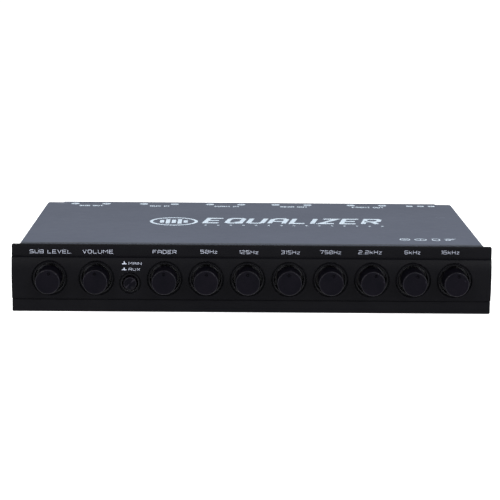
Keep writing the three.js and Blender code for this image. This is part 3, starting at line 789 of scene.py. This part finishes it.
# ------------------------------------------------------------------ phono jacks
def jack_set(name, x):
    bm = bmesh.new()
    brick(bm, x - 13.2, x + 13.2, 97.5, 107.3, 6.2, 18.4, 0.4, 3)
    finish_piece("jack_body_" + name, bm, "chassis", [BLACK_NYLON], ["jack_block_" + name], angle=30)
    bm = bmesh.new()
    brick(bm, x - 11.6, x + 11.6, 107.6, 108.3, JACK_Z - 4.9, JACK_Z + 5.4, 0.12, 2)
    for s in (-1, 1):
        c = x + s * JACK_HALF_PITCH
        prof = [(3.7, 107.8), (4.55, 107.8), (4.6, 107.9), (4.6, 108.5), (4.5, 108.62), (4.15, 108.7), (4.12, 109.2), (4.12, 110.2), (4.15, 110.3),
                (4.15, 118.45), (4.13, 118.72), (4.06, 118.9), (3.95, 118.97), (3.88, 118.985), (3.80, 118.96), (3.73, 118.88),
                (3.7, 118.7), (3.7, 107.8)]
        lathe(bm, prof, c, JACK_Z, 56)
    finish_piece("jack_barrels_" + name, bm, "chassis", [NICKEL], ["jack_shell_" + name], angle=32)
    for s, side, m in ((-1, "left", WHITE_INSULATOR), (1, "right", RED_INSULATOR)):
        c = x + s * JACK_HALF_PITCH
        bm = bmesh.new()
        prof = [(1.78, 109.2), (1.78, 118.15), (1.86, 118.32), (2.0, 118.42), (3.15, 118.42), (3.35, 118.34), (3.45, 118.16),
                (3.47, 117.9), (3.47, 108.4), (2.4, 108.4), (1.78, 109.2)]
        lathe(bm, prof, c, JACK_Z, 48)
        # centre contact: a split sleeve inside the bore
        prof = [(1.45, 109.4), (1.45, 117.3), (1.5, 117.42), (1.62, 117.46), (1.72, 117.4), (1.74, 117.25), (1.74, 109.4), (1.45, 109.4)]
        lathe(bm, prof, c, JACK_Z, 32, mat=1)
        lathe(bm, [(0, 109.0), (1.7, 109.0), (1.7, 109.3), (0, 109.3)], c, JACK_Z, 24, mat=1)
        finish_piece(f"jack_insulator_{side}_{name}", bm, "chassis", [m, GOLD], angle=32)


# ------------------------------------------------------------------ supply header
def supply_header():
    bm = bmesh.new()
    x0, x1, y0, y1, z0, z1 = SUPPLY_X - 8.6, SUPPLY_X + 8.6, 99.0, 112.0, 6.2, 17.2
    wall = rounded([(x0, z0, 0), (x0, z0, 0)], 1)

    def outline(ax0, ax1, az0, az1, rad, seg=4):
        pts = []
        for cx, cz, a in ((ax1 - rad, az0 + rad, -90), (ax1 - rad, az1 - rad, 0), (ax0 + rad, az1 - rad, 90), (ax0 + rad, az0 + rad, 180)):
            for k in range(seg + 1):
                t = radians(a + 90 * k / seg)
                pts.append((cx + rad * cos(t), cz + rad * sin(t)))
        return pts

    spec = [(0.4, 0, y0, 0.3), (0.12, 0, y0 + 0.12, 0.4), (0, 0, y0 + 0.3, 0.5), (0, 0, y1 - 0.3, 0.5), (0.08, 0, y1 - 0.08, 0.45), (0.22, 0, y1, 0.35),
            (0.68, 0, y1, 0.25), (0.8, 0, y1 - 0.06, 0.22), (0.88, 0, y1 - 0.2, 0.2), (0.9, 0, y1 - 0.5, 0.2), (0.9, 0, y0 + 4.0, 0.2)]
    chain = []
    for inset, _, y, rad in spec:
        chain.append([bm.verts.new((x, y, z)) for x, z in outline(x0 + inset, x1 - inset, z0 + inset, z1 - inset, rad)])
    rings(bm, chain)
    bm.faces.new(list(reversed(chain[0])))
    bm.faces.new(chain[-1])
    # keying ribs on the roof of the socket, and a floor ridge between the ways
    for i in (-1, 0, 1):
        cx = SUPPLY_X + i * SUPPLY_PITCH
        brick(bm, cx - 1.15, cx - 0.55, 103.2, 111.6, 15.7, 16.5, 0.12, 2)
        brick(bm, cx + 0.55, cx + 1.15, 103.2, 111.6, 15.7, 16.5, 0.12, 2)
    for i in (-0.5, 0.5):
        cx = SUPPLY_X + i * SUPPLY_PITCH
        brick(bm, cx - 0.3, cx + 0.3, 103.2, 110.8, 6.9, 7.6, 0.12, 2)
    # side ears of the housing against the rear wall
    for s in (-1, 1):
        a, b = sorted((SUPPLY_X + s * 8.5, SUPPLY_X + s * 8.9))
        brick(bm, a, b, 110.2, 111.2, 9.0, 14.0, 0.1, 2)
    return finish_piece("supply_socket", bm, "chassis", [BLACK_NYLON], ["supply_header"], angle=32)


def supply_pin(name, cx):
    bm = bmesh.new()
    chain = []
    for y, h in ((98.4, 0.28), (98.9, 0.5), (109.7, 0.5), (110.1, 0.42), (110.5, 0.2)):
        loop = []
        c = min(0.12, h * 0.3)
        for sx, sz in ((1, -1), (1, 1), (-1, 1), (-1, -1)):
            if sx * sz < 0:
                loop += [(sx * h - sx * c if sx > 0 else sx * h, sz * h if sx > 0 else sz * h - sz * c),
                         (sx * h if sx > 0 else sx * h + c, sz * h + c if sx > 0 else sz * h)]
            else:
                loop += [(sx * h, sz * h - sz * c) if sx > 0 else (sx * h + c, sz * h),
                         (sx * h - c, sz * h) if sx > 0 else (sx * h, sz * h + c)]
        chain.append([bm.verts.new((cx + a, y, 9.8 + b)) for a, b in loop])
    rings(bm, chain)
    bm.faces.new(list(reversed(chain[0])))
    bm.faces.new(chain[-1])
    return finish_piece("contact_" + name, bm, "chassis", [NICKEL], [name], angle=25)


# ------------------------------------------------------------------ printed legends
GLYPHS = {
    "A": (4, [[(0, 0), (0, 4.9), (1.1, 6), (2.9, 6), (4, 4.9), (4, 0)], [(0.0, 2.5), (4.0, 2.5)]]),
    "B": (4, [[(0, 0), (0, 6)], [(0, 6), (3.2, 6), (3.9, 5.3), (3.9, 3.7), (3.3, 3.1)], [(0, 3.1), (3.3, 3.1), (4, 2.4), (4, 0.7), (3.3, 0), (0, 0)]]),
    "C": (4, [[(4, 6), (0.8, 6), (0, 5.2), (0, 0.8), (0.8, 0), (4, 0)]]),
    "D": (4, [[(0, 0), (3.1, 0), (4, 0.9), (4, 5.1), (3.1, 6), (0, 6), "close"]]),
    "E": (4, [[(4, 6), (0, 6), (0, 0), (4, 0)], [(0, 3.05), (3.4, 3.05)]]),
    "F": (4, [[(4, 6), (0, 6), (0, 0)], [(0, 3.0), (3.3, 3.0)]]),
    "G": (4, [[(4, 6), (0.8, 6), (0, 5.2), (0, 0.8), (0.8, 0), (4, 0), (4, 2.9), (2.2, 2.9)]]),
    "H": (4, [[(0, 0), (0, 6)], [(4, 0), (4, 6)], [(0, 3.1), (4, 3.1)]]),
    "I": (0, [[(0, 0), (0, 6)]]),
    "L": (3.8, [[(0, 6), (0, 0), (3.8, 0)]]),
    "M": (4.8, [[(0, 0), (0, 6), (2.4, 2.8), (4.8, 6), (4.8, 0)]]),
    "N": (4, [[(0, 0), (0, 6), (4, 0), (4, 6)]]),
    "O": (4, [[(0.8, 0), (3.2, 0), (4, 0.8), (4, 5.2), (3.2, 6), (0.8, 6), (0, 5.2), (0, 0.8), "close"]]),
    "P": (4, [[(0, 0), (0, 6), (3.2, 6), (4, 5.2), (4, 3.5), (3.2, 2.8), (0, 2.8)]]),
    "Q": (4, [[(0.8, 0), (3.2, 0), (4, 0.8), (4, 5.2), (3.2, 6), (0.8, 6), (0, 5.2), (0, 0.8), "close"], [(2.5, 1.6), (4.2, -0.3)]]),
    "R": (4, [[(0, 0), (0, 6), (3.2, 6), (4, 5.2), (4, 3.6), (3.2, 2.8), (0, 2.8)], [(2.1, 2.8), (4, 0)]]),
    "S": (4, [[(4, 6), (0.8, 6), (0, 5.3), (0, 3.8), (0.7, 3.1), (3.3, 3.1), (4, 2.4), (4, 0.7), (3.2, 0), (0, 0)]]),
    "T": (4, [[(2, 0), (2, 6)], [(0, 6), (4, 6)]]),
    "U": (4, [[(0, 6), (0, 0.8), (0.8, 0), (3.2, 0), (4, 0.8), (4, 6)]]),
    "V": (4, [[(0, 6), (2, 0), (4, 6)]]),
    "X": (4, [[(0, 0), (4, 6)], [(0, 6), (4, 0)]]),
    "Z": (4, [[(0, 6), (4, 6), (0, 0), (4, 0)]]),
    "0": (4, [[(0.8, 0), (3.2, 0), (4, 0.8), (4, 5.2), (3.2, 6), (0.8, 6), (0, 5.2), (0, 0.8), "close"], [(1.1, 1.7), (2.9, 4.3)]]),
    "1": (1.1, [[(0, 5.0), (1.1, 6), (1.1, 0)]]),
    "2": (4, [[(0, 6), (3.2, 6), (4, 5.3), (4, 3.8), (3.3, 3.1), (0.7, 3.1), (0, 2.4), (0, 0), (4, 0)]]),
    "3": (4, [[(0, 6), (3.2, 6), (4, 5.3), (4, 3.7), (3.4, 3.1), (4, 2.4), (4, 0.7), (3.2, 0), (0, 0)], [(1, 3.1), (3.4, 3.1)]]),
    "5": (4, [[(4, 6), (0, 6), (0, 3.3), (3.2, 3.3), (4, 2.6), (4, 0.7), (3.2, 0), (0, 0)]]),
    "6": (4, [[(3.8, 6), (0.8, 6), (0, 5.2), (0, 0.8), (0.8, 0), (3.2, 0), (4, 0.8), (4, 2.6), (3.2, 3.3), (0, 3.3)]]),
    "7": (4, [[(0, 6), (4, 6), (1.4, 0)]]),
    ".": (0.5, [[(0, 0.05), (0.5, 0.05)]]),
    "k": (3.3, [[(0, 0), (0, 6)], [(3.1, 4), (0, 1.9)], [(1.1, 2.6), (3.3, 0)]]),
    "z": (3.1, [[(0, 4), (3.1, 4), (0, 0), (3.1, 0)]]),
    " ": (1.6, []),
}


def stroke(bm, pts, half, closed, place, low, high, mat=0):
    """A raised line of constant width along points in the (u, v) plane of the print."""
    n = len(pts)
    left, right = [], []
    for i in range(n):
        p = Vector(pts[i])
        a = Vector(pts[i - 1]) if (closed or i > 0) else None
        b = Vector(pts[(i + 1) % n]) if (closed or i < n - 1) else None
        d0 = (p - a).normalized() if a is not None else (b - p).normalized()
        d1 = (b - p).normalized() if b is not None else d0
        n0, n1 = Vector((-d0.y, d0.x)), Vector((-d1.y, d1.x))
        m = (n0 + n1)
        m = n0 if m.length < 1e-6 else m.normalized()
        k = half / max(0.45, m.dot(n0))
        q = p
        if not closed and i == 0:
            q = p - d1 * 0.0
        left.append(q + m * k)
        right.append(q - m * k)
    vs = [[bm.verts.new(place(q.x, q.y, h)) for q in side] for side, h in ((left, high), (right, high), (right, low), (left, low))]
    for i in range(n if closed else n - 1):
        j = (i + 1) % n
        for a, b in ((0, 1), (1, 2), (2, 3), (3, 0)):
            bm.faces.new((vs[a][i], vs[b][i], vs[b][j], vs[a][j])).material_index = mat
    if not closed:
        bm.faces.new((vs[0][0], vs[3][0], vs[2][0], vs[1][0])).material_index = mat
        bm.faces.new((vs[0][-1], vs[1][-1], vs[2][-1], vs[3][-1])).material_index = mat


def lettering(bm, text, x0, x1, v0, v1, weight, place, low, high):
    """Text filling x0..x1 and v0..v1, outer edges of its strokes included."""
    gap = 1.45
    natural = 0.0
    for k, ch in enumerate(text):
        natural += GLYPHS[ch][0] + (gap if k else 0)
    su, sv = (x1 - x0 - weight) , (v1 - v0 - weight) / 6
    extra = weight
    count = len(text) - 1
    unit = (su - extra * 0.55 * count) / natural
    x = x0 + weight / 2
    for k, ch in enumerate(text):
        wdt, lines = GLYPHS[ch]
        for layer, pts in enumerate(lines):
            closed = pts[-1] == "close"
            body = pts[:-1] if closed else pts
            # strokes that cross lie a hair below each other, so no two faces coincide
            stroke(bm, [(x + a * unit, v0 + weight / 2 + b * sv) for a, b in body], weight / 2, closed, place, low, high - 0.006 * layer)
        x += (wdt + gap) * unit + extra * 0.55


def rounded_box(x0, x1, v0, v1, r, seg=5):
    out = []
    for cx, cv, a in ((x1 - r, v0 + r, -90), (x1 - r, v1 - r, 0), (x0 + r, v1 - r, 90), (x0 + r, v0 + r, 180)):
        for k in range(seg + 1):
            t = radians(a + 90 * k / seg)
            out.append((cx + r * cos(t), cv + r * sin(t)))
    return out


def filled(bm, pts, place, low, high):
    top, bot = [bm.verts.new(place(a, b, high)) for a, b in pts], [bm.verts.new(place(a, b, low)) for a, b in pts]
    n = len(pts)
    bm.faces.new(top)
    bm.faces.new(list(reversed(bot)))
    for k in range(n):
        bm.faces.new((top[k], bot[k], bot[(k + 1) % n], top[(k + 1) % n]))


def legends():
    ink = 0.029
    on_strip = lambda a, b, h: (a, STRIP_Y - h, b)
    on_crown = lambda a, b, h: (a, crown(b) - h, b)
    on_top = lambda a, b, h: (a, b, CASE_TOP + h)
    bm = bmesh.new()
    for text, a, b, zc in (("SUB LEVEL", -82.5, -66.7, 22.70), ("VOLUME", -62.9, -51.2, 22.76), ("FADER", -36.95, -27.75, 22.82),
                           ("50Hz", -19.25, -12.65, 23.02), ("125Hz", -4.95, 2.5, 22.95), ("315Hz", 10.6, 17.9, 23.0),
                           ("750Hz", 25.1, 33.25, 23.12), ("2.2kHz", 39.3, 48.3, 23.2), ("6kHz", 56.4, 62.65, 23.27),
                           ("16kHz", 70.0, 77.1, 23.36)):
        lettering(bm, text, a + 0.2, b - 0.2, zc - 0.68, zc + 0.68, 0.145 if a < -10 else 0.128 if a < 50 else 0.115, on_strip, -0.02, ink)
    finish_piece("panel_legends", bm, "chassis", [FRONT_INK], merge=1e-6, angle=20, normals=False)
    bm = bmesh.new()
    lettering(bm, "MAIN", -45.68, -40.9, 18.1, 19.06, 0.11, on_crown, -0.03, ink)
    lettering(bm, "AUX", -45.68, -41.35, 15.98, 16.92, 0.11, on_crown, -0.03, ink)
    for base, up in ((18.28, 0.66), (16.12, 0.60)):
        filled(bm, rounded_box(-48.15, -46.35, base, base + 0.32, 0.14, 3), on_crown, -0.03, ink)
        filled(bm, rounded_box(-47.5, -47.0, base + 0.26, base + 0.34 + up, 0.16, 3), on_crown, -0.03, ink)
    finish_piece("source_legends", bm, "chassis", [FRONT_INK], merge=1e-6, angle=20, normals=False)

    bm, cut = bmesh.new(), bmesh.new()
    disc = lambda x, y, rx, ry: [(x + rx * cos(2 * pi * k / 32), y + ry * sin(2 * pi * k / 32)) for k in range(32)]
    for text, a, b, left, right in (("SUB OUT", -72.1, -61.9, -74.2, -61.0), ("AUX IN", -42.3, -34.1, -45.0, -31.9),
                                    ("MAIN IN", -15.0, -4.7, -16.9, -3.6), ("REAR OUT", 12.8, 24.5, 11.0, 24.6),
                                    ("FRONT OUT", 43.2, 56.7, 43.1, 56.5)):
        lettering(bm, text, a, b, 97.0, 99.7, 0.5, on_top, -0.02, ink)
        for ch, x in (("L", left), ("R", right)):
            filled(bm, disc(x, 104.1, 1.75, 1.95), on_top, -0.02, ink * 0.7)
            lettering(cut, ch, x - 0.66, x + 0.7, 103.1, 105.1, 0.28, on_top, 0.0, ink)
    for ch, x in (("V", 68.0), ("R", 72.7), ("G", 77.3)):
        filled(bm, rounded_box(x - 1.4, x + 1.4, 101.4, 104.2, 0.7), on_top, -0.02, ink * 0.7)
        lettering(cut, ch, x - 0.6, x + 0.6, 102.0, 103.6, 0.24, on_top, 0.0, ink)
    finish_piece("socket_legends", bm, "chassis", [TOP_INK], merge=1e-6, angle=20, normals=False)
    finish_piece("socket_legend_letters", cut, "chassis", [COVER_PAINT], merge=1e-6, angle=20, normals=False)

    bm = bmesh.new()
    # plain band-level pictogram: five bars in a ring
    ring = [(-30.75 + 9.0 * cos(2 * pi * k / 64), 56.3 + 9.6 * sin(2 * pi * k / 64)) for k in range(64)]
    stroke(bm, ring, 0.62, True, on_top, -0.02, ink)
    for k, h in enumerate((6.4, 10.6, 8.0, 11.4, 5.6)):
        a = -36.3 + k * 2.36
        filled(bm, rounded_box(a, a + 1.65, 56.3 - h / 2, 56.3 + h / 2, 0.3, 3), on_top, -0.02, ink)
    slanted = lambda a, b, h: (a + (b - 59.5) * 0.16, b, CASE_TOP + h)
    lettering(bm, "EQUALIZER", -18.4, 52.4, 52.2, 66.0, 1.9, slanted, -0.02, ink)
    for k in range(15):
        a = -18.4 + k * 5.0
        filled(bm, rounded_box(a, a + 0.95, 46.75, 47.8, 0.25, 2), on_top, -0.02, ink)
    finish_piece("cover_pictogram", bm, "chassis", [TOP_INK], merge=1e-6, angle=20, normals=False)

    bm = bmesh.new()
    # plain tick marks near the front right of the cover
    stroke(bm, rounded_box(56.35, 59.9, 13.3, 17.2, 1.4), 0.2, True, on_top, -0.02, ink)
    stroke(bm, [(57.5, 15.25), (58.9, 15.25)], 0.2, False, on_top, -0.02, ink)
    stroke(bm, rounded_box(61.9, 66.2, 13.3, 17.2, 1.9), 0.2, True, on_top, -0.02, ink)
    stroke(bm, [(64.05, 14.3), (64.05, 16.2)], 0.2, False, on_top, -0.02, ink)
    stroke(bm, rounded_box(68.6, 71.2, 13.3, 17.2, 0.6), 0.2, True, on_top, -0.02, ink)
    stroke(bm, [(73.2, 13.6), (75.4, 13.6)], 0.2, False, on_top, -0.02, ink)
    stroke(bm, [(73.2, 15.3), (76.6, 15.3)], 0.2, False, on_top, -0.02, ink)
    stroke(bm, [(73.2, 17.0), (77.6, 17.0)], 0.2, False, on_top, -0.02, ink)
    finish_piece("cover_tick_marks", bm, "chassis", [TOP_INK], merge=1e-6, angle=20, normals=False)

    # faint pressed ring near the right rear of the cover, a hair high; its paint is a little lighter than the cover's,
    # a painted highlight where the pressing catches light
    bm = bmesh.new()
    stroke(bm, [(77.6 + 1.7 * cos(2 * pi * q / 40), 71.0 + 1.7 * sin(2 * pi * q / 40)) for q in range(40)], 0.24, True, on_top, -0.02, 0.012)
    finish_piece("cover_pressed_ring", bm, "chassis", [PRESSED_RING_HIGHLIGHT], merge=1e-6, angle=20, normals=False)


# ------------------------------------------------------------------ assemble
front_panel()
for nm, kx, kz in CONTROLS:
    knob(nm, kx, kz, POINTERS[nm])
button()
top_cover()
for nm, sx, sy in (("cover_screw_left_front", -1, 18), ("cover_screw_left_rear", -1, 94),
                   ("cover_screw_right_front", 1, 18), ("cover_screw_right_rear", 1, 94)):
    cover_screw(nm, sx, sy)
tray()
spacer_marks()
for nm, jx in JACKS:
    jack_set(nm, jx)
supply_header()
for nm, i in (("supply_pin_12v", -1), ("supply_pin_remote", 0), ("supply_pin_ground", 1)):
    supply_pin(nm, SUPPLY_X + i * SUPPLY_PITCH)
legends()

# carried-over nodes inside the case
kept = {"main_board": BOARD, "switch_body": BLACK_NYLON, "switch_plunger": BLACK_NYLON, "supply_capacitor": SLEEVE,
        "noise_choke": COPPER, "converter_transformer": FERRITE, "voltage_regulator": BLACK_NYLON, "filter_op_amp": BLACK_NYLON}
for nm, _, _ in CONTROLS:
    kept["pot_body_" + nm] = BLACK_NYLON
    kept["pot_shaft_" + nm] = NICKEL
for nm, m in kept.items():
    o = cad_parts[nm]
    o.data.materials.clear()
    o.data.materials.append(m)

# ------------------------------------------------------------------ stage, light, camera
floor_me = bpy.data.meshes.new("floor")
fb = bmesh.new()
bmesh.ops.create_grid(fb, x_segments=2, y_segments=2, size=9.0)
fb.to_mesh(floor_me)
fb.free()
floor = bpy.data.objects.new("floor", floor_me)
bpy.context.scene.collection.objects.link(floor)
floor.location = (0, 3.0, -0.0002)
floor_mat = surface("pale_floor", (0.86, 0.86, 0.86), (0.88, 0.88, 0.88), patch=3, rough=(0.6, 0.7), grain=300, grain_depth=0.00001,
                    grain_strength=0.1, specular=0.2)
floor_bsdf = floor_mat.node_tree.nodes["Principled BSDF"]
floor_bsdf.inputs["Emission Color"].default_value = (1, 1, 1, 1)
floor_bsdf.inputs["Emission Strength"].default_value = 0.72
floor_me.materials.append(floor_mat)

world = bpy.data.worlds.new("studio")
bpy.context.scene.world = world
world.use_nodes = True
wn = world.node_tree
bg = wn.nodes["Background"]
tc = wn.nodes.new("ShaderNodeTexCoord")
sep = wn.nodes.new("ShaderNodeSeparateXYZ")
wn.links.new(tc.outputs["Generated"], sep.inputs[0])
wr = wn.nodes.new("ShaderNodeValToRGB")
wr.color_ramp.elements[0].position = 0.0
wr.color_ramp.elements[0].color = (0.5, 0.5, 0.51, 1)
wr.color_ramp.elements[1].position = 0.7
wr.color_ramp.elements[1].color = (0.8, 0.8, 0.8, 1)
wn.links.new(sep.outputs["Z"], wr.inputs["Fac"])
wn.links.new(wr.outputs["Color"], bg.inputs["Color"])
bg.inputs["Strength"].default_value = 0.56


def softbox(name, loc, target, size, power, colour=(1, 1, 1)):
    li = bpy.data.lights.new(name, "AREA")
    li.shape = "RECTANGLE"
    li.size, li.size_y = size
    li.energy = power
    li.color = colour
    o = bpy.data.objects.new(name, li)
    bpy.context.scene.collection.objects.link(o)
    o.location = loc
    o.rotation_mode = "QUATERNION"
    o.rotation_quaternion = (Vector(target) - Vector(loc)).to_track_quat("-Z", "Y")
    return o


softbox("overhead", (0.26, 0.24, 1.0), (0, 0, 0), (0.5, 0.3), 2.6)
softbox("front_left", (-0.50, -1.02, 0.42), (-0.02, -0.06, 0.01), (0.42, 0.3), 12.6)
softbox("front_right", (0.50, -1.02, 0.42), (0.02, -0.06, 0.01), (0.42, 0.3), 13.6)
softbox("top_front", (0.0, -0.62, 0.95), (0.0, -0.06, 0.01), (0.9, 0.14), 2.4)
softbox("side_left", (-0.95, -0.32, 0.26), (0.0, -0.06, 0.01), (0.45, 0.35), 4.5)
softbox("side_right", (0.95, -0.32, 0.26), (0.0, -0.06, 0.01), (0.45, 0.35), 4.8)

cam = bpy.data.cameras.new("camera")
cam.sensor_width = 36.0
cam.lens = 1844.806 / 500 * 36
cam.clip_start, cam.clip_end = 0.05, 60
cam_ob = bpy.data.objects.new("camera", cam)
bpy.context.scene.collection.objects.link(cam_ob)
yaw, pitch, roll = 0.00977399, 0.16894965, 0.00863706
fwd = Vector((sin(yaw) * cos(pitch), cos(yaw) * cos(pitch), -sin(pitch)))
right = Vector((cos(yaw), -sin(yaw), 0))
up = right.cross(fwd)
r2 = right * cos(roll) + up * sin(roll)
u2 = -right * sin(roll) + up * cos(roll)
rot = Matrix((r2, u2, -fwd)).transposed().to_4x4()
cam_ob.matrix_world = Matrix.Translation(Vector((-7.323, -674.345 + SHIFT, 138.671)) / 1000) @ rot
bpy.context.scene.camera = cam_ob

bpy.context.scene.view_settings.view_transform = "Standard"
bpy.context.scene.view_settings.look = "None"
bpy.context.scene.view_settings.exposure = 0.0
bpy.context.scene.view_settings.gamma = 1.0
